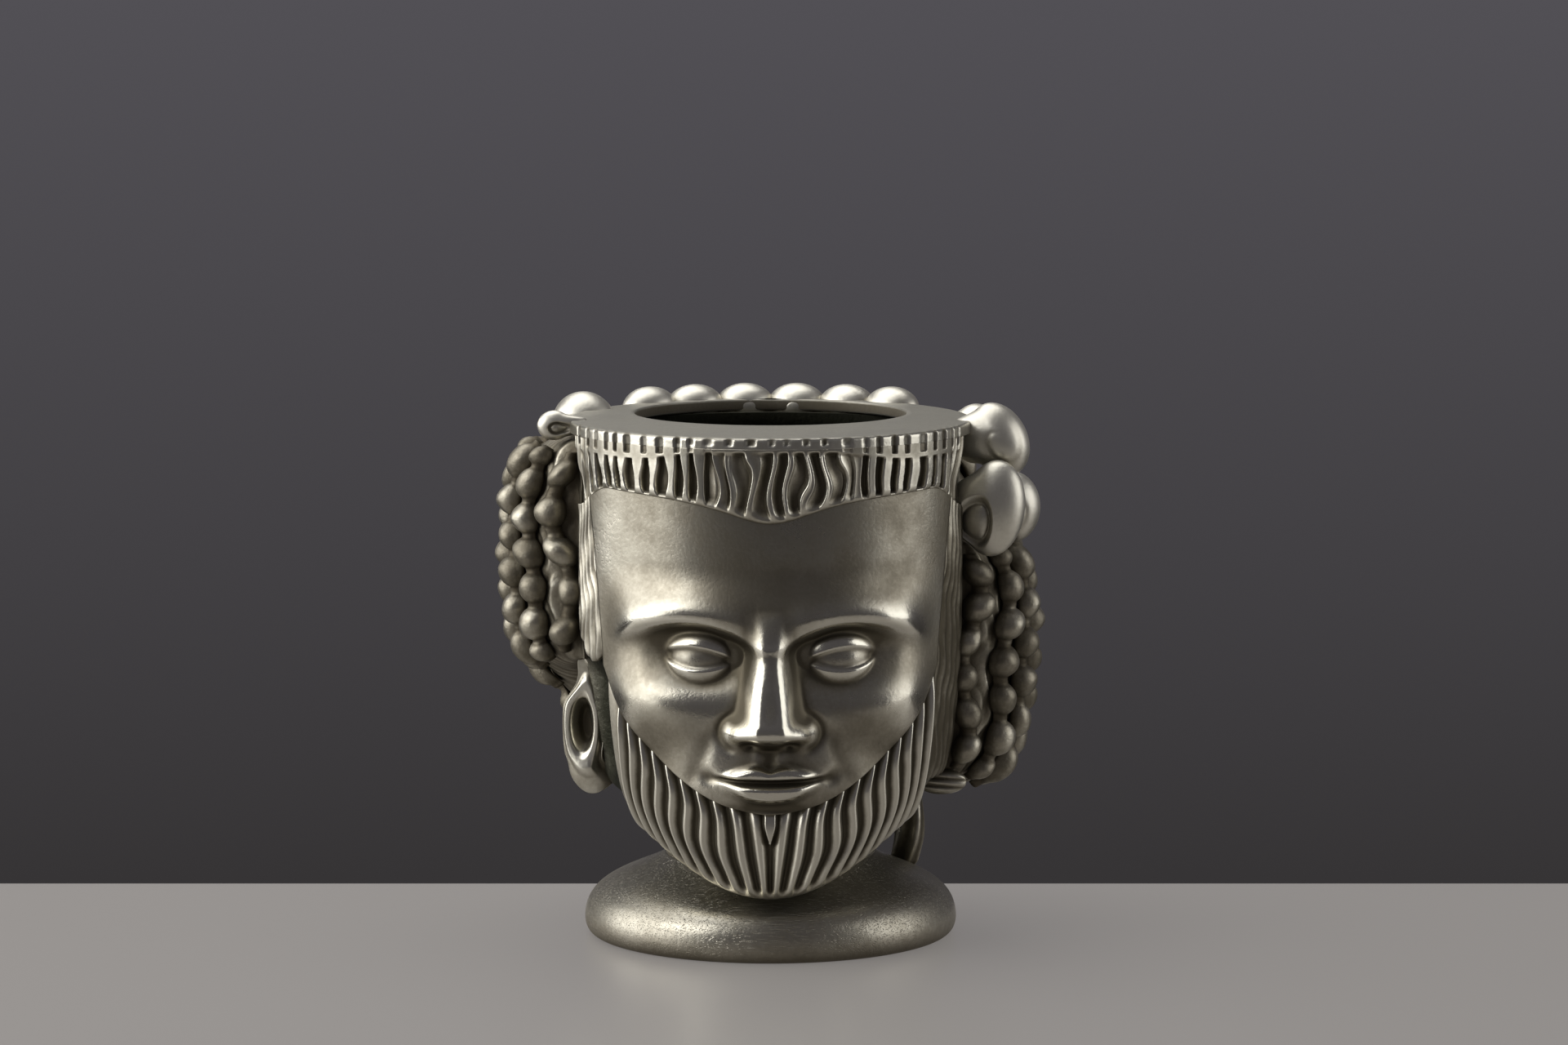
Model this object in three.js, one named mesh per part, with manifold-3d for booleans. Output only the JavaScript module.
// A head vase in cast pewter: a hollow bearded head on a neck and a round foot, open at the crown.
// The face, fringe, beard, ear, hair and curls are castings of their own, soldered to the hollow head.
// Millimetres, +Z up, the face looks along -Y, the origin is the middle of the foot's underside.
// An angle round the head is in degrees from the face, and positive towards +X.

import * as THREE from 'three';
import { mergeVertices } from 'three/addons/utils/BufferGeometryUtils.js';
import Module from 'manifold-3d';

const wasm = await Module();
wasm.setup();

// Driving sizes

const SEAM = 0.35; // what the solder fills between neighbouring castings
const BACK_EASE = 0.3; // the back of a casting bent over the head stands this much further off it

const RIM_TOP = 153.5; // height of the flat rim round the mouth
const RIM_THICKNESS = 3.4;
const RIM_BEVEL = 0.8;
const RIM_UNDER = RIM_TOP - RIM_THICKNESS;
const HEAD_TOP = RIM_UNDER - SEAM; // where the head, fringe and rim meet
const MOUTH_RADIUS = 40.5;
const MOUTH_SET_BACK = 18; // the mouth lies this far behind the middle of the head

const HEAD_HALF_WIDTH = 56;
const HEAD_FRONT_DEPTH = 57;
const HEAD_BACK_DEPTH = 57;
const HEAD_WALL = 2.5;
const JAW_HEIGHT = { front: 22, side: 45, back: 40 }; // lower edge of the head
const JAW_CURVE = 2.4; // how square the cheek turns into the jaw
const JAW_RATIO = { front: 0.86, side: 0.8, back: 0.7 }; // width at the jaw over width at the rim
const FULL_HEIGHT = { front: 92, side: 112, back: 112 }; // where the head reaches its full width
const CAVITY_FLOOR = 44;

const NECK_RADIUS = 29.5;
const NECK_FLARE = 1.6;
const NECK_WALL = 3.4;
const NECK_TOP = 37;

const FOOT_RADIUS = 55.3;
const FOOT_CONTACT_RADIUS = 52;
const FOOT_EDGE_HEIGHT = 4.5; // height at which the foot is widest
const FOOT_TOP = 24;
const FOOT_WALL = 3.2;
const BASE_PLATE_THICKNESS = 2;
const BASE_SEAT_RADIUS = FOOT_CONTACT_RADIUS - 1.4; // the rebate that the base plate closes

const RIM_OVERHANG = { side: 3.6, front: 5 }; // the rim stands this far out over the head wall

const FRINGE_HEIGHT = 12.25;
const FRINGE_HEM = HEAD_TOP - FRINGE_HEIGHT; // lower edge of the fringe over the brows
const FRINGE_POINT = 8.8; // how far it dips in the middle
const FRINGE_POINT_WIDTH = 18;
const FRINGE_FALL = 8; // how far its hem falls towards its two ends
const FRINGE_FALL_ANGLE = 52;
const FRINGE_LOCKS = 28;
const FRINGE_GROOVE = 1.8;

const FACE_ANGLE = 62;
const FACE_TAPER = 8; // the face is this many degrees narrower at the jaw
const MASK_THICKNESS = 2.2;
const FACE_WIDTH = 100; // five eyes wide
const HAIRLINE = FRINGE_HEM - 7.5; // the fringe's point just covers it
const CHIN = 34;
const NOSE_LENGTH = 11.5; // how far its tip stands out from the face

const BEARD_LINE = 46.5; // top of the beard under the lip
const BEARD_LINE_RISE = 38;
const BEARD_LOCKS = 22;
const BEARD_THICKNESS = 5.4;
const BEARD_GROOVE = 1.9;
const BEARD_HEM_ANGLE = 52;
const BEARD_SWAY_ANGLE = 1.2;

const TEMPLE_THICKNESS = 3;
const TEMPLE_LOCKS = 3;

const HAIR_FRONT_ANGLE = 73;
const FRINGE_ANGLE = HAIR_FRONT_ANGLE - 0.5;
const HAIR_SIDE_END_ANGLE = 138; // where the side hair meets the back hair
const HAIR_SKIN = 1.4; // thickness of the hair's edge
const HAIR_WALL = 2.5;
const HAIR_BACK_BULGE = 8.5;
const HAIR_SIDE_BULGE = 10.5; // beyond the bulge at the back
const HAIR_SIDE_ANGLE = 102;
const HAIR_SIDE_SPREAD_ANGLE = 26;
const HAIR_SWELL_ANGLE = 24; // over which the side hair swells out
const HAIR_SWELL_START_ANGLE = HAIR_FRONT_ANGLE + 2.5;
const HAIR_SWELL_EASE = 0.2; // share of the swelling over which it begins softly
// how far the hair's lower edge is above the jaw and its upper edge below the top of the head, by angle
const HAIR_HEM_RISE = [
  [-180, 6], [-150, 6], [-125, 13.5], [-96, 33], [-HAIR_FRONT_ANGLE, 39.2],
  [HAIR_FRONT_ANGLE, 5.2], [96, 1.2], [150, 3.8], [180, 6],
];
const HAIR_CROWN_DROP = [
  [-180, 1.75], [-HAIR_FRONT_ANGLE, 1.75],
  [HAIR_FRONT_ANGLE, 31.75], [102, 31.75], [132, 1.75], [180, 1.75],
];

const SIDE_STRANDS = 8; // at each side
const BEAD_PITCH = 10.7;
const BACK_BEAD_PITCH = 11.8;
const BACK_STRANDS = 8;
const STRAND_SWAY_ANGLE = 1.1;
const STRAND_SWAY_LENGTH = 46;
const STRAND_START_ANGLE = { left: 3, right: 2 }; // from the hair's front edge to the first strand
const STRAND_TOP_GAP = 3.5;
const STRAND_HEM_GAP = 3;
const PARTING_HEIGHT = { left: 112, right: 80 }; // where the strands of a side are equally wide
const CURL_CLEARANCE = 9; // the strands under the big curl on the left end this much lower
const BEAD_WIDTH_RATIO = 0.82; // a bead's greatest width over its pitch
const BEAD_NECK_RATIO = 0.56; // a strand between two beads over its width at a bead
const BEAD_HEIGHT_RATIO = 1.35; // a bead's height over its half width
const BEAD_STEP_RATIOS = [0, 0.22, 0.5, 0.78];
// a strand's section as [across, out], flat where it is soldered
const BEAD_SECTION = [[-1, 0], [-0.74, 0.7], [0, 1], [0.74, 0.7], [1, 0]];

const BACK_CURL_RISE = 4.8; // the curls at the back stand this far above the rim
const BACK_CURL_RADIUS = 7;
const BACK_CURLS = 6;
const BACK_CURL_CLEARANCE = 6; // from the curls down to the strands' ends, which lean up towards them
const VOLUTE_START_ANGLE = 115; // degrees round a volute, from where it leaves the head
const VOLUTE_END_ANGLE = -170;
const VOLUTE_CLOSING_RATIO = 0.6; // its radius at the inner end over that at the start

// the big curls: each one's angle, how far its eye is below the rim and stands off the head, the half width and
// half height to the middle of the rolled lock, that lock's thickness out and along, and the way it faces
const VOLUTES = {
  volute_right_top: {
    angle: 85, drop: 5.7, stand: 11.7, wide: 5, tall: 7.3, thick: 5, long: 8, facing: -1,
  },
  volute_right_front: {
    angle: 76.5, drop: 25.1, stand: 11.3, wide: 5, tall: 10.2, thick: 5, long: 5.6, facing: -1,
  },
  volute_right_rear: {
    angle: 97, drop: 26.5, stand: 15.8, wide: 5, tall: 5.4, thick: 4.8, long: 7.5, facing: 1,
  },
  volute_right_back: {
    angle: 110, drop: 7, stand: 9.5, wide: 4.4, tall: 5.5, thick: 4.8, long: 8, facing: 1,
  },
  volute_left_top: {
    angle: -118, drop: 4, stand: 7.6, wide: 4.6, tall: 4.8, thick: 5.4, long: 9, facing: 1,
  },
  curl_left_front: {
    angle: -83, drop: 1.5, stand: 8, wide: 2.6, tall: 2.4, thick: 2.9, long: 3, facing: 1,
  },
};
const VOLUTE_ROOT = 2; // how far a curl's core would reach into the head if it weren't cut

const EAR_HALF_WIDTH = 7.6;
const EAR_HALF_HEIGHT = 19.5;
const EAR_RISE = 17.5; // from the lower edge of the head up to its middle
const EAR_ANGLE = -78;
const EAR_FACING_ANGLE = -20; // it looks ahead and a little outwards
const EAR_STAND_RATIO = 0.42; // how much of its half width stands clear of the head
const EAR_ROLL = 1.2;
const EAR_THICKNESS = 3;
// all of the other ear that the hair leaves bare
const EAR_LOBE = { angle: 77, stand: 3.4, half_width: 6.5, half_height: 4.2, half_thickness: 2.2 };
const EAR_HOLLOW = 4.5;
const EAR_TAPER_RATIO = 0.5; // the share of its width that it loses towards its top

const NAPE_LOCK_RADIUS = 5.6;
const NAPE_LOCK_INSET = 6.8; // a lock's end lies this far inside the foot's widest line
const NAPE_LOCK_FOOT = 10; // it is cut off by the foot above this
const NAPE_LOCK_WAVE = 1.6;
const NAPE_LOCK_ANGLES = { right: 121, centre_right: 147, centre: 173, left: -158 };

// Small helpers

const radians = (degrees) => THREE.MathUtils.degToRad(degrees);
const { lerp, clamp, smoothstep } = THREE.MathUtils;
const outward = (angle) => new THREE.Vector3(Math.sin(radians(angle)), -Math.cos(radians(angle)), 0);
const sideways = (angle) => new THREE.Vector3(Math.cos(radians(angle)), Math.sin(radians(angle)), 0);
const UP = new THREE.Vector3(0, 0, 1);

// a value that goes smoothly from point to point of a list of [position, value]
function along(list, position) {
  const last = list.length - 1;
  let i = 0;
  while (i < last - 1 && position > list[i + 1][0]) i += 1;
  const [from, low] = list[i];
  const [to, high] = list[i + 1];
  return lerp(low, high, smoothstep(position, from, to));
}

// what a front, side and back value come to at an angle; a higher power keeps to the side value for longer
function around(values, angle, power = 2) {
  const c = Math.cos(radians(angle));
  const end = c > 0 ? values.front : values.back;
  return lerp(values.side, end, c ** power);
}

// The head's own form

function headTopRadius(angle) {
  const depth = Math.cos(radians(angle)) > 0 ? HEAD_FRONT_DEPTH : HEAD_BACK_DEPTH;
  const s = Math.sin(radians(angle)) / HEAD_HALF_WIDTH;
  const c = Math.cos(radians(angle)) / depth;
  return 1 / Math.hypot(s, c);
}

const jawHeight = (angle) => around(JAW_HEIGHT, angle, 4);

function headRadius(angle, z) {
  const jaw = jawHeight(angle);
  const t = clamp((z - jaw) / (around(FULL_HEIGHT, angle) - jaw), 0, 1);
  const rise = (1 - (1 - t) ** JAW_CURVE) ** (1 / JAW_CURVE);
  return headTopRadius(angle) * lerp(around(JAW_RATIO, angle), 1, rise);
}

const onHead = (angle, z) => outward(angle).multiplyScalar(headRadius(angle, z)).setZ(z);

// unit normal of any surface given as a function of angle and height
function normalOf(surface, angle, z) {
  const step = 0.5;
  const across = surface(angle + step, z).sub(surface(angle - step, z));
  const upwards = surface(angle, z + step).sub(surface(angle, z - step));
  return across.cross(upwards).normalize();
}

const offHead = (angle, z, depth) => onHead(angle, z).addScaledVector(normalOf(onHead, angle, z), depth);

// The hair's outer form, which the strands lie on

const wrap = (angle) => (angle > 180 ? angle - 360 : angle < -180 ? angle + 360 : angle);
const hairHem = (angle) => jawHeight(angle) + along(HAIR_HEM_RISE, wrap(angle));
const hairCrown = (angle) => HEAD_TOP - along(HAIR_CROWN_DROP, wrap(angle));

function hairDepth(angle, z) {
  const side = Math.abs(angle);
  const fromFullest = (side - HAIR_SIDE_ANGLE) / HAIR_SIDE_SPREAD_ANGLE;
  const bulge = HAIR_BACK_BULGE + HAIR_SIDE_BULGE * Math.exp(-(fromFullest ** 2));
  const swell = clamp((side - HAIR_SWELL_START_ANGLE) / HAIR_SWELL_ANGLE, 0, 1);
  const front = Math.sqrt(1 - (1 - swell) ** 2) * smoothstep(swell, 0, HAIR_SWELL_EASE);
  const hem = hairHem(angle);
  const t = clamp((2 * (z - hem)) / (hairCrown(angle) - hem) - 1, -1, 1);
  return HAIR_SKIN + bulge * front * Math.sqrt(1 - t ** 4);
}

const onHair = (angle, z) => offHead(angle, z, SEAM + hairDepth(wrap(angle), z));

// Geometry helpers

// one closed body with its faces pointing out
function tidy(geometry) {
  geometry.deleteAttribute('normal');
  geometry.deleteAttribute('uv');
  const merged = mergeVertices(geometry, 1e-4);
  const { array } = merged.index;
  const position = merged.attributes.position;
  const corners = [0, 1, 2].map(() => new THREE.Vector3());
  const kept = [];
  let volume = 0;
  for (let i = 0; i < array.length; i += 3) {
    const [a, b, c] = array.slice(i, i + 3);
    if (a === b || b === c || a === c) continue;
    kept.push(a, b, c);
    [a, b, c].forEach((vertex, n) => corners[n].fromBufferAttribute(position, vertex));
    volume += corners[0].dot(corners[1].cross(corners[2]));
  }
  merged.setIndex(volume < 0 ? kept.reverse() : kept);
  merged.computeVertexNormals();
  return merged;
}

// moves every vertex of a unit shape to where place puts it
function warp(geometry, place) {
  const position = geometry.attributes.position;
  const point = new THREE.Vector3();
  for (let i = 0; i < position.count; i += 1) {
    place(point.fromBufferAttribute(position, i)).toArray(position.array, i * 3);
  }
  return tidy(geometry);
}

// a plate bent over the head: u runs across it, v up it and w through it, each from 0 to 1;
// its inner face keeps only every so many columns and rows
function bentPlate(columns, rows, place, keep = { columns: 2, rows: 1 }) {
  const snap = (share, count, step) => Math.min(Math.round((share * count) / step) * step, count) / count;
  return warp(new THREE.BoxGeometry(1, 1, 1, columns, rows, 1), (p) => {
    const [u, v, w] = [p.x + 0.5, p.y + 0.5, p.z + 0.5];
    return w > 0.5 ? place(u, v, 1) : place(snap(u, columns, keep.columns), snap(v, rows, keep.rows), 0);
  });
}

// a turned shape whose profile is a list of [radius, height], placed by angle
function turned(profile, segments, place) {
  const points = profile.map(([radius, height]) => new THREE.Vector2(radius, height));
  const lathe = new THREE.LatheGeometry(points, segments);
  return warp(lathe, (p) => {
    const angle = THREE.MathUtils.radToDeg(Math.atan2(p.x, p.z));
    return place(angle, Math.hypot(p.x, p.z), p.y);
  });
}

const roundTurned = (profile, segments) =>
  turned(profile, segments, (angle, radius, height) => outward(angle).multiplyScalar(radius).setZ(height));

function toSolid(geometry) {
  const vertProperties = new Float32Array(geometry.attributes.position.array);
  const triVerts = new Uint32Array(geometry.index.array);
  return new wasm.Manifold(new wasm.Mesh({ numProp: 3, vertProperties, triVerts }));
}

function toGeometry(solid) {
  const mesh = solid.getMesh();
  const geometry = new THREE.BufferGeometry();
  geometry.setAttribute('position', new THREE.Float32BufferAttribute(mesh.vertProperties, 3));
  geometry.setIndex(new THREE.Uint32BufferAttribute(mesh.triVerts, 1));
  return tidy(geometry);
}

// Solid forms that other pieces are cut by, grown by a clearance

const HEAD_STEP_RATIOS = [0, 0.06, 0.17, 0.34, 0.6, 1];
const ROUND_STEPS = 34;

// closed at the neck's seat below and flat on top; with a floor it is the hollow inside
function headForm(grow, floor, top) {
  const seatShare = 0.5;
  const seatRadius = NECK_RADIUS + 1;
  const atTop = 2;
  const under = [0, seatShare, 0.7, 0.87].map((share) => [share, 0]);
  const wall = [...HEAD_STEP_RATIOS, atTop].map((h) => [1, h]);
  return turned([...under, ...wall, [0, atTop]], ROUND_STEPS, (angle, share, h) => {
    const jaw = Math.max(jawHeight(angle), floor ?? 0);
    const edge = offHead(angle, h === atTop ? top : lerp(jaw, HEAD_TOP, h), grow);
    if (share === 1) return edge;
    if (h === atTop) return new THREE.Vector3(0, 0, top);
    const seat = floor ?? NECK_TOP + SEAM - grow;
    const beyond = clamp((share - seatShare) / (1 - seatShare), 0, 1);
    const radius = lerp(seatRadius * Math.min(share / seatShare, 1), Math.hypot(edge.x, edge.y), beyond);
    return outward(angle).multiplyScalar(radius).setZ(lerp(seat, edge.z, smoothstep(beyond, 0, 1)));
  });
}

const RIM_STEPS = 48;

function rimRadius(angle) {
  const c = Math.cos(radians(angle));
  return headTopRadius(angle) + lerp(RIM_OVERHANG.side, RIM_OVERHANG.front, c * c);
}

function rimOutline(grow) {
  const points = Array.from({ length: RIM_STEPS }, (_, i) => {
    const angle = (i * 360) / RIM_STEPS;
    const { x, y } = outward(angle).multiplyScalar(rimRadius(angle) + grow);
    return new THREE.Vector2(x, y);
  });
  return new THREE.Shape(points);
}

function rimCutter() {
  const depth = RIM_THICKNESS + 2 * SEAM;
  const slab = new THREE.ExtrudeGeometry(rimOutline(SEAM), { depth, bevelEnabled: false });
  return toSolid(tidy(slab.translate(0, 0, RIM_UNDER - SEAM)));
}

// the foot's outer profile from the table up to the neck
function footProfile(grow) {
  const dome = new THREE.CubicBezierCurve(
    new THREE.Vector2(FOOT_RADIUS, FOOT_EDGE_HEIGHT),
    new THREE.Vector2(FOOT_RADIUS, FOOT_TOP * 0.62),
    new THREE.Vector2(lerp(NECK_RADIUS, FOOT_RADIUS, 0.22), FOOT_TOP * 0.68),
    new THREE.Vector2(NECK_RADIUS + NECK_FLARE, FOOT_TOP),
  );
  const points = dome.getPoints(5).map((p) => [p.x + grow, p.y + grow]);
  return [[FOOT_CONTACT_RADIUS + grow, 0], ...points];
}

const headCutter = toSolid(headForm(SEAM, undefined, RIM_TOP + 10));
const footCutter = toSolid(roundTurned([[0, 0], ...footProfile(SEAM), [0, FOOT_TOP]], ROUND_STEPS));

// Head, rim, neck and foot

function headShell() {
  const outer = toSolid(headForm(0, undefined, HEAD_TOP));
  const inner = toSolid(headForm(-HEAD_WALL, CAVITY_FLOOR, HEAD_TOP + HEAD_WALL));
  return toGeometry(outer.subtract(inner));
}

function rimPlate() {
  const shape = rimOutline(-RIM_BEVEL);
  const mouth = new THREE.Path();
  mouth.absarc(0, MOUTH_SET_BACK, MOUTH_RADIUS + RIM_BEVEL, 0, 2 * Math.PI, true);
  shape.holes.push(mouth);
  const plate = new THREE.ExtrudeGeometry(shape, {
    depth: RIM_THICKNESS - 2 * RIM_BEVEL,
    bevelThickness: RIM_BEVEL,
    bevelSize: RIM_BEVEL,
    bevelSegments: 1,
    curveSegments: RIM_STEPS / 2,
  });
  return tidy(plate.translate(0, 0, RIM_UNDER + RIM_BEVEL));
}

function neck() {
  const base = FOOT_TOP + SEAM;
  const outer = [[NECK_RADIUS + NECK_FLARE, base], [NECK_RADIUS + 0.4, base + 4], [NECK_RADIUS, NECK_TOP]];
  const inner = [[NECK_RADIUS - NECK_WALL, NECK_TOP], [NECK_RADIUS - NECK_WALL, base]];
  return roundTurned([...outer, ...inner, outer[0]], ROUND_STEPS);
}

function foot() {
  const outer = footProfile(0);
  const inside = outer
    .slice(2, -1)
    .reverse()
    .map(([radius, height]) => [radius - FOOT_WALL, height - FOOT_WALL]);
  const bore = NECK_RADIUS + NECK_FLARE - NECK_WALL;
  const hollow = [[bore, FOOT_TOP], [bore, FOOT_TOP - FOOT_WALL], ...inside];
  const seat = [[BASE_SEAT_RADIUS, BASE_PLATE_THICKNESS + SEAM], [BASE_SEAT_RADIUS, 0]];
  return roundTurned([...outer, ...hollow, ...seat, outer[0]], ROUND_STEPS);
}

function basePlate() {
  const radius = BASE_SEAT_RADIUS - SEAM;
  const disc = [[0, 0], [radius, 0], [radius, BASE_PLATE_THICKNESS], [0, BASE_PLATE_THICKNESS]];
  return roundTurned(disc, ROUND_STEPS);
}

// Face: forehead, brows to nose and nose to chin are each a third of hairline to chin

const FACE_THIRD = (HAIRLINE - CHIN) / 3;
const BROW = HAIRLINE - FACE_THIRD;
const NOSE_BASE = BROW - FACE_THIRD;
const MOUTH_LINE = NOSE_BASE - FACE_THIRD / 3;
const EYE_WIDTH = FACE_WIDTH / 5;
const EYE_LINE = BROW - FACE_THIRD * 0.27;

function faceRelief(x, z) {
  const a = Math.abs(x);
  const mound = (cx, cz, sx, sz) => Math.exp(-(((a - cx) / sx) ** 2) - ((z - cz) / sz) ** 2);
  const band = (height, half) => Math.exp(-(((z - height) / half) ** 2));
  const full = 2.4 * smoothstep(BROW + 18 - z, 0, 16) * smoothstep(47 - a, 0, 13);
  const brow = 2.8 * band(BROW + 3 - ((a - EYE_WIDTH) / 12) ** 2, 4) * smoothstep(44 - a, 0, 12);
  const innerCorner = -1.6 * mound(EYE_WIDTH / 2, EYE_LINE + 2, 5, 7);
  const socket = innerCorner - 4.6 * mound(EYE_WIDTH, EYE_LINE + 1, 12, 8.5);
  const eye = 4.8 * mound(EYE_WIDTH, EYE_LINE, 9, 5);
  const cheek = 2.6 * mound(30, NOSE_BASE + 12, 13, 11);
  const down = clamp((BROW + 2 - z) / FACE_THIRD, 0, 1);
  const bridge = lerp(2.2, NOSE_LENGTH, down ** 1.25) * smoothstep(z, NOSE_BASE - 1.5, NOSE_BASE + 3.5);
  const nose = bridge * smoothstep(lerp(8.5, 11.5, down) - a, 0, lerp(6, 8, down));
  const wing = 4 * mound(8.6, NOSE_BASE + 4, 3.4, 3.8);
  const muzzle = 3 * mound(0, MOUTH_LINE, 18, 12);
  const upperLip = 2.2 * band(MOUTH_LINE + 2.6, 2) * smoothstep(15 - a, 0, 8);
  const lowerLip = 2.6 * band(MOUTH_LINE - 2.8, 2.3) * smoothstep(13 - a, 0, 8);
  return full + brow + socket + eye + cheek + nose + wing + muzzle + upperLip + lowerLip;
}

function fringeHem(angle) {
  const x = rimRadius(angle) * Math.sin(radians(angle));
  const point = FRINGE_POINT / (1 + (x / FRINGE_POINT_WIDTH) ** 2);
  const fall = FRINGE_FALL * smoothstep(Math.abs(angle), FRINGE_FALL_ANGLE, FRINGE_ANGLE);
  return FRINGE_HEM - point - fall;
}

const beardLine = (angle) =>
  BEARD_LINE + BEARD_LINE_RISE * (Math.abs(angle) / (FACE_ANGLE - FACE_TAPER)) ** 1.8;

function faceMask() {
  return bentPlate(30, 28, (u, v, w) => {
    const t = 2 * u - 1;
    const spread = 0.62 * t + 0.38 * t ** 3; // closer columns towards the nose
    const angle = spread * (FACE_ANGLE - FACE_TAPER * (1 - v));
    const z = lerp(beardLine(angle) + SEAM, fringeHem(angle) - SEAM, v);
    const x = HEAD_FRONT_DEPTH * Math.sin(radians(angle));
    const outer = SEAM + BACK_EASE + MASK_THICKNESS + Math.max(faceRelief(x, z), 0.6 - MASK_THICKNESS);
    return offHead(angle, z, lerp(SEAM + BACK_EASE, outer, w));
  }, { columns: 2, rows: 2 });
}

// a row of locks: 0 on a ridge and 1 in a groove
const grooveAt = (u, locks) => Math.abs(((u * locks) % 1) * 2 - 1);

function fringe() {
  return bentPlate(FRINGE_LOCKS * 2, 3, (u, v, w) => {
    const angle = lerp(-FRINGE_ANGLE, FRINGE_ANGLE, u);
    const z = lerp(fringeHem(angle), HEAD_TOP, v);
    const full = rimRadius(angle) - headTopRadius(angle);
    const groove = FRINGE_GROOVE * grooveAt(u, FRINGE_LOCKS) * (1 - v);
    const roll = v === 0 ? 1.2 : 0;
    return offHead(angle, z, lerp(SEAM + BACK_EASE, full - groove - roll, w));
  }, { columns: 4, rows: 1 });
}

function beard() {
  const side = FACE_ANGLE - FACE_TAPER;
  return bentPlate(BEARD_LOCKS * 2, 5, (u, v, w) => {
    const t = 2 * u - 1;
    const sway = BEARD_SWAY_ANGLE * Math.sin(2 * Math.PI * v) * (1 - Math.abs(t)) * Math.sign(t);
    const angle = t * lerp(BEARD_HEM_ANGLE, side, v) + sway;
    const low = jawHeight(angle);
    const z = lerp(low, beardLine(angle) - SEAM, v ** 1.2);
    const swell = Math.sqrt(1 - (2 * v - 1) ** 4);
    const groove = BEARD_GROOVE * grooveAt(u, BEARD_LOCKS) * swell;
    return offHead(angle, z, lerp(SEAM + BACK_EASE, lerp(2.6, BEARD_THICKNESS, swell) - groove, w));
  }, { columns: 4, rows: 1 });
}

// the locks down a temple: on the left they end over the ear, on the right they run on beside the beard
function templeLock(side) {
  const beardSide = FACE_ANGLE - FACE_TAPER;
  const faceLow = beardLine(beardSide);
  const faceHigh = fringeHem(FACE_ANGLE);
  const low = side < 0 ? faceLow : hairHem(HAIR_FRONT_ANGLE);
  return bentPlate(TEMPLE_LOCKS * 2, side < 0 ? 6 : 10, (u, v, w) => {
    const upFace = clamp((lerp(low, faceHigh, v) - faceLow) / (faceHigh - faceLow), 0, 1);
    const across = side > 0 ? u : 1 - u;
    const angle = side * lerp(lerp(beardSide, FACE_ANGLE, upFace) + 1, FRINGE_ANGLE, across);
    const z = lerp(low, fringeHem(angle) - SEAM, v);
    const groove = 1.1 * grooveAt(u, TEMPLE_LOCKS);
    return offHead(angle, z, lerp(SEAM + BACK_EASE, TEMPLE_THICKNESS - groove, w));
  });
}

// Hair: a hollow form in three castings, with strands of beads on it

// one part of the hair, hollow behind; grown by a clearance it is a block that cuts what sits on the hair
function hairPad({ from, to, columns }, clearance = 0) {
  const edge = (share) => (share === 0 ? -clearance : share === 1 ? clearance : 0);
  return bentPlate(columns, 8, (u, v, w) => {
    const angle = lerp(from, to, u) + 2 * edge(u);
    const even = 0.5 - 0.5 * Math.cos(Math.PI * v);
    const z = lerp(hairHem(angle), hairCrown(angle), even) + edge(v);
    const depth = hairDepth(wrap(angle), z);
    const inner = clearance ? -1 : SEAM + Math.max(BACK_EASE, depth - HAIR_WALL);
    return offHead(angle, z, lerp(inner, SEAM + depth + clearance, w));
  });
}

const PARTING_ANGLE = 0.2; // a hair casting stays back by this from the next one
const HAIR_PADS = {
  left: { from: -HAIR_SIDE_END_ANGLE + PARTING_ANGLE, to: -HAIR_FRONT_ANGLE, columns: 10 },
  right: { from: HAIR_FRONT_ANGLE, to: HAIR_SIDE_END_ANGLE - PARTING_ANGLE, columns: 10 },
  back: {
    from: HAIR_SIDE_END_ANGLE + PARTING_ANGLE,
    to: 360 - HAIR_SIDE_END_ANGLE - PARTING_ANGLE,
    columns: 10,
  },
};
const hairCutter = Object.values(HAIR_PADS)
  .map((pad) => toSolid(hairPad(pad, SEAM)))
  .reduce((whole, pad) => whole.add(pad));

const cutBy = (solid, ...cutters) =>
  toGeometry(cutters.reduce((rest, cutter) => rest.subtract(cutter), solid));

// angles that part the hair between two angles into strands that are equally wide at height z
function partings(from, to, count, z) {
  const steps = 240;
  const walked = [0];
  for (let i = 1; i <= steps; i += 1) {
    const [here, next] = [i - 1, i].map((n) => onHair(lerp(from, to, n / steps), z));
    walked.push(walked[i - 1] + here.distanceTo(next));
  }
  return Array.from({ length: count + 1 }, (_, n) => {
    const i = walked.findIndex((length) => length >= (walked[steps] * n) / count - 1e-6);
    return lerp(from, to, i / steps);
  });
}

// which corner of a many-sided cylinder a point is on
const corner = (p, sides) => (Math.round((Math.atan2(p.x, p.z) * sides) / (2 * Math.PI)) + sides) % sides;

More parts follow.
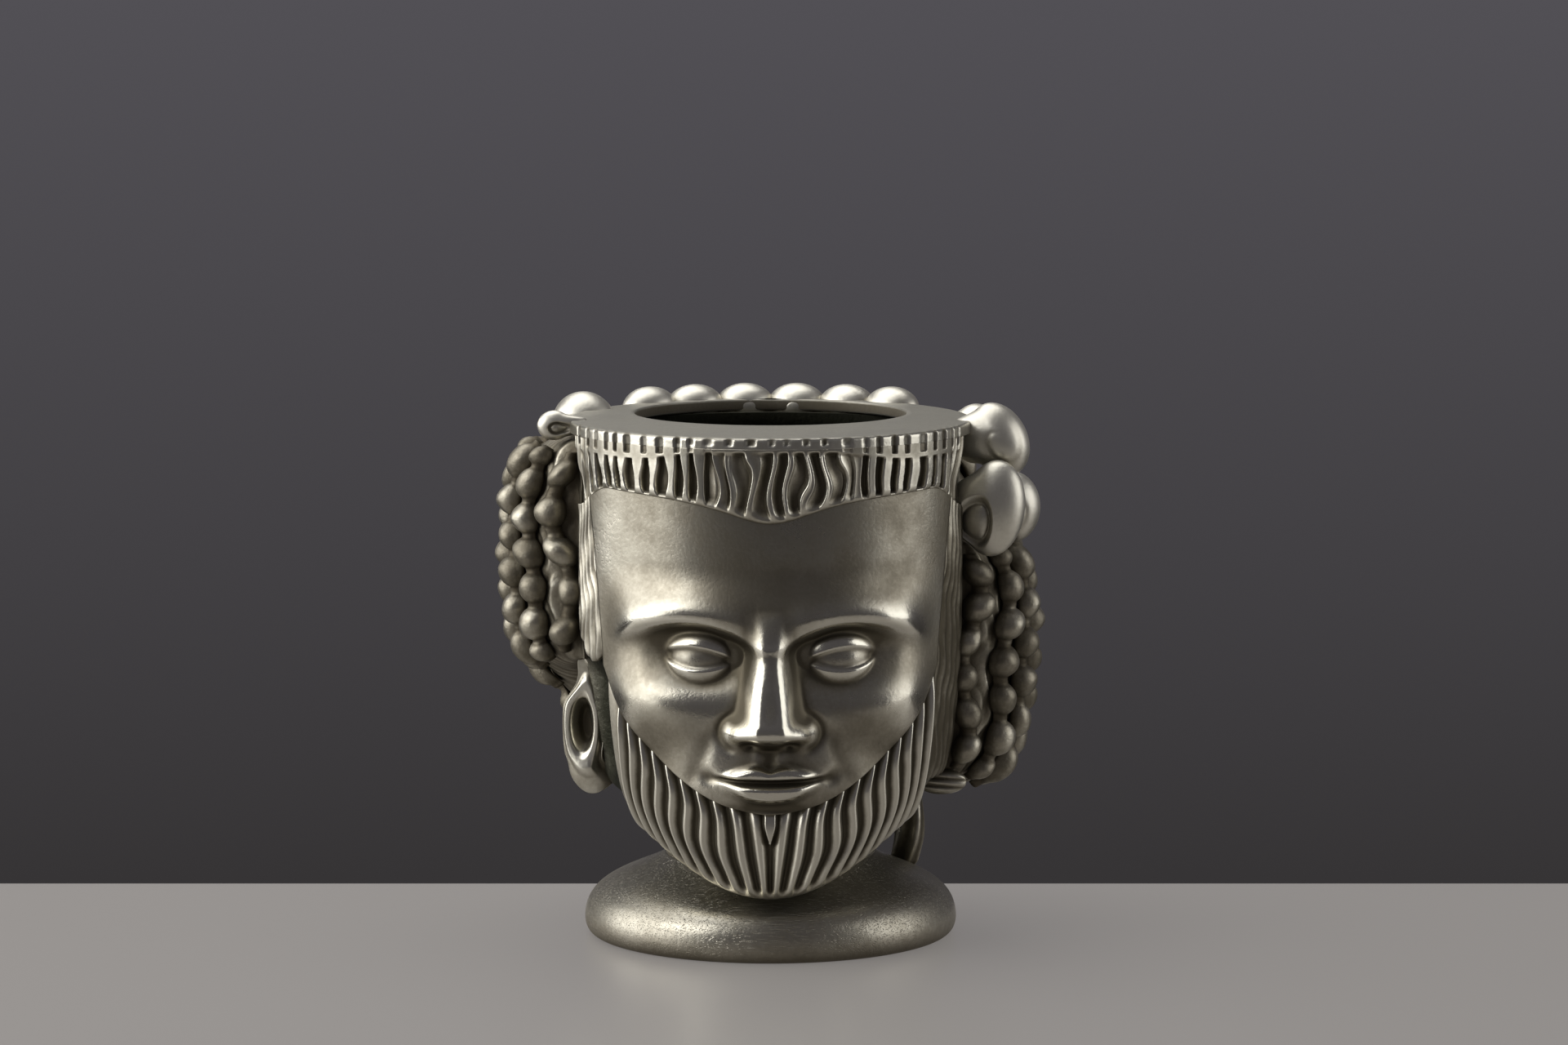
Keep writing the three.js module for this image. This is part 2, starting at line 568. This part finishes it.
// a string of beads down the hair between two partings, flat where it is soldered
function beadStrand({ from, to, top, bottom, pitch, phase }) {
  const beads = Math.max(2, Math.round((top - bottom) / pitch));
  const rings = beads * BEAD_STEP_RATIOS.length;
  const strand = warp(new THREE.CylinderGeometry(1, 1, 1, BEAD_SECTION.length, rings), (p) => {
    const [side, out] = p.x || p.z ? BEAD_SECTION[corner(p, BEAD_SECTION.length)] : [0, 0.4];
    const ring = Math.round((p.y + 0.5) * rings);
    const step = BEAD_STEP_RATIOS[ring % BEAD_STEP_RATIOS.length];
    const s = (Math.floor(ring / BEAD_STEP_RATIOS.length) + step) / beads;
    const z = lerp(bottom, top, s);
    const sway = STRAND_SWAY_ANGLE * Math.sin((2 * Math.PI * z) / STRAND_SWAY_LENGTH);
    const middle = (from + to) / 2 + sway;
    const width = onHair(from + sway, z).distanceTo(onHair(to + sway, z));
    const room = Math.min(width, pitch * BEAD_WIDTH_RATIO) / 2 - SEAM;
    const bead = lerp(BEAD_NECK_RATIO, 1, Math.sin(Math.PI * ((step + phase) % 1)) ** 0.8);
    const normal = normalOf(onHair, middle, z);
    const across = new THREE.Vector3().crossVectors(UP, normal).normalize();
    const lift = SEAM + 0.1 + BEAD_HEIGHT_RATIO * room * bead * out;
    return onHair(middle, z).addScaledVector(normal, lift).addScaledVector(across, room * bead * side);
  });
  return cutBy(toSolid(strand), headCutter, rimCutter(), hairCutter);
}

// Curls, each cut to sit on what carries it

const ellipsoid = (centre, [out, along, up], axes, steps) =>
  toSolid(warp(new THREE.SphereGeometry(1, ...steps), (p) =>
    centre.clone()
      .addScaledVector(axes[0], out * p.x)
      .addScaledVector(axes[1], along * p.z)
      .addScaledVector(UP, up * p.y)));

// a horn that rolls outwards and down into a spiral round a core, with a bead as its eye
function volute({ angle, drop, stand, wide, tall, thick, long, facing }) {
  const out = outward(angle);
  const axis = sideways(angle).multiplyScalar(facing);
  const centre = onHead(angle, RIM_TOP - drop).addScaledVector(out, stand);
  const horn = warp(new THREE.CylinderGeometry(1, 1, 1, 7, 12), (p) => {
    const s = 0.5 - p.y;
    const turn = radians(lerp(VOLUTE_START_ANGLE, VOLUTE_END_ANGLE, s));
    const shrink = lerp(1, VOLUTE_CLOSING_RATIO, s);
    const spoke = out.clone().multiplyScalar(Math.cos(turn)).addScaledVector(UP, Math.sin(turn));
    const size = (0.74 + 0.26 * Math.sin(Math.PI * s)) * lerp(1, 0.66, s);
    return centre.clone()
      .addScaledVector(out, wide * shrink * Math.cos(turn))
      .addScaledVector(UP, tall * shrink * Math.sin(turn))
      .addScaledVector(spoke, thick * size * p.x)
      .addScaledVector(axis, long * size * (p.z + 0.3 * s));
  });
  const reach = wide + thick * 0.55;
  const coreCentre = centre.clone().addScaledVector(out, (reach - stand - VOLUTE_ROOT) / 2);
  const coreSize = [(reach + stand + VOLUTE_ROOT) / 2, long * 0.75, tall + thick * 0.4];
  const core = ellipsoid(coreCentre, coreSize, [out, axis], [8, 6]);
  const eyeCentre = centre.clone().addScaledVector(axis, long * 0.6);
  const eye = ellipsoid(eyeCentre, [thick * 0.6, long * 0.4, thick * 0.6], [out, axis], [7, 5]);
  return cutBy(toSolid(horn).add(core).add(eye), headCutter, rimCutter(), hairCutter);
}

function backCurl(angle) {
  const height = RIM_TOP + BACK_CURL_RISE - BACK_CURL_RADIUS;
  const centre = outward(angle).multiplyScalar(rimRadius(angle) + BACK_CURL_RADIUS * 0.45).setZ(height);
  const size = [BACK_CURL_RADIUS * 0.94, BACK_CURL_RADIUS * 0.94, BACK_CURL_RADIUS];
  const curl = ellipsoid(centre, size, [outward(angle), sideways(angle)], [10, 8]);
  return cutBy(curl, headCutter, rimCutter(), hairCutter);
}

// a dished plate that stands out from the head, rolled at its edge
function ear() {
  const facing = outward(EAR_FACING_ANGLE);
  const across = sideways(EAR_FACING_ANGLE).negate();
  const height = jawHeight(EAR_ANGLE) + EAR_RISE;
  const centre = onHead(EAR_ANGLE, height).addScaledVector(across, EAR_HALF_WIDTH * EAR_STAND_RATIO);
  const plate = bentPlate(7, 9, (u, v, w) => {
    const [a, b] = [2 * u - 1, 2 * v - 1];
    const x = a * Math.sqrt(1 - (b * b) / 2);
    const y = b * Math.sqrt(1 - (a * a) / 2);
    const reach = Math.hypot(x, y);
    const lobe = smoothstep(-y, 0.35, 0.9);
    const dish = EAR_HOLLOW * (1 - smoothstep(reach, 0.15, 0.55)) * (1 - lobe);
    const roll = EAR_ROLL * smoothstep(reach, 0.4, 0.65) * (1 - smoothstep(reach, 0.85, 1));
    return centre.clone()
      .addScaledVector(across, -x * EAR_HALF_WIDTH * (1 - EAR_TAPER_RATIO * smoothstep(y, 0, 1)))
      .addScaledVector(UP, y * EAR_HALF_HEIGHT)
      .addScaledVector(facing, roll - dish - EAR_THICKNESS * (1 - w));
  }, { columns: 1, rows: 1 });
  return cutBy(toSolid(plate), headCutter, hairCutter);
}

// the lobe of the ear that the hair covers
function earLobe() {
  const { angle, stand, half_width: wide, half_height: tall, half_thickness: thick } = EAR_LOBE;
  const height = hairHem(HAIR_FRONT_ANGLE) - 3.4;
  const centre = onHead(angle, height).addScaledVector(outward(angle), stand);
  const plate = warp(new THREE.SphereGeometry(1, 10, 7), (p) =>
    new THREE.Vector3(wide * p.x, thick * p.z, tall * p.y).add(centre));
  return cutBy(toSolid(plate), headCutter, hairCutter);
}

// a wavy lock that hangs from under the hair to the foot
function napeLock(angle, phase) {
  const top = hairHem(angle);
  const lock = warp(new THREE.CylinderGeometry(1, 1, 1, 8, 8), (p) => {
    const s = 0.5 - p.y;
    const z = lerp(top, NAPE_LOCK_FOOT, s);
    const wave = NAPE_LOCK_WAVE * Math.sin(2 * Math.PI * (s * 1.25 + phase));
    const radius = lerp(headRadius(angle, top) + 3, FOOT_RADIUS - NAPE_LOCK_INSET, s ** 0.8);
    const size = NAPE_LOCK_RADIUS * (1 - 0.2 * s);
    return outward(angle).multiplyScalar(radius + 0.62 * size * p.z)
      .addScaledVector(sideways(angle), wave + size * p.x)
      .setZ(z);
  });
  return cutBy(toSolid(lock), headCutter, hairCutter, footCutter);
}

const group = new THREE.Group();

const pewter = { color: 0x8d8a80, roughness: 0.34, metalness: 1 };
const darkPewter = { color: 0x6f6b62, roughness: 0.45, metalness: 1 };

function add(name, geometry, finish = pewter) {
  const mesh = new THREE.Mesh(geometry, new THREE.MeshStandardMaterial(finish));
  mesh.name = name;
  group.add(mesh);
}

add('head_shell', headShell(), darkPewter);
add('rim_plate', rimPlate());
add('neck', neck());
add('foot', foot());
add('base_plate', basePlate(), darkPewter);
add('fringe', fringe());
add('face_mask', faceMask());
add('beard', beard());
add('temple_lock_left', templeLock(-1));
add('temple_lock_right', templeLock(1));
Object.entries(HAIR_PADS).forEach(([name, pad]) => add(`hair_pad_${name}`, hairPad(pad)));

// side strands stop short of the hair's crown, and on the left also under the big curl
function sideStrandTop(angle) {
  const underCurl = CURL_CLEARANCE * smoothstep(-angle, 108, 116);
  return hairCrown(angle) - STRAND_TOP_GAP - underCurl;
}

function addStrands(name, parts, strandTop, pitch) {
  parts.slice(1).forEach((to, i) => {
    const from = parts[i];
    const middle = wrap((from + to) / 2);
    const bottom = hairHem(middle) + STRAND_HEM_GAP;
    const phase = i % 2 ? 0.5 : 0;
    add(`strand_${name}_${i + 1}`, beadStrand({ from, to, top: strandTop(middle), bottom, pitch, phase }));
  });
}

Object.entries({ left: -1, right: 1 }).forEach(([name, side]) => {
  const [front, end] = [side * (HAIR_FRONT_ANGLE + STRAND_START_ANGLE[name]), side * HAIR_SIDE_END_ANGLE];
  const parts = partings(front, end, SIDE_STRANDS, PARTING_HEIGHT[name]);
  addStrands(name, parts, sideStrandTop, BEAD_PITCH);
});

const BACK_ARC = 360 - 2 * HAIR_SIDE_END_ANGLE;
const backAngle = (share) => HAIR_SIDE_END_ANGLE + share * BACK_ARC;
const backParts = Array.from({ length: BACK_STRANDS + 1 }, (_, i) => backAngle(i / BACK_STRANDS));
const backTop = RIM_TOP + BACK_CURL_RISE - 2 * BACK_CURL_RADIUS - BACK_CURL_CLEARANCE;
addStrands('back', backParts, () => backTop, BACK_BEAD_PITCH);
for (let i = 0; i < BACK_CURLS; i += 1) {
  add(`back_curl_${i + 1}`, backCurl(backAngle((i + 0.5) / BACK_CURLS)));
}

Object.entries(VOLUTES).forEach(([name, sizes]) => add(name, volute(sizes)));
add('ear_left', ear());
add('ear_lobe_right', earLobe());
Object.entries(NAPE_LOCK_ANGLES).forEach(([place, angle], i) => {
  add(`nape_lock_${place}`, napeLock(angle, i * 0.3));
});

export default group;
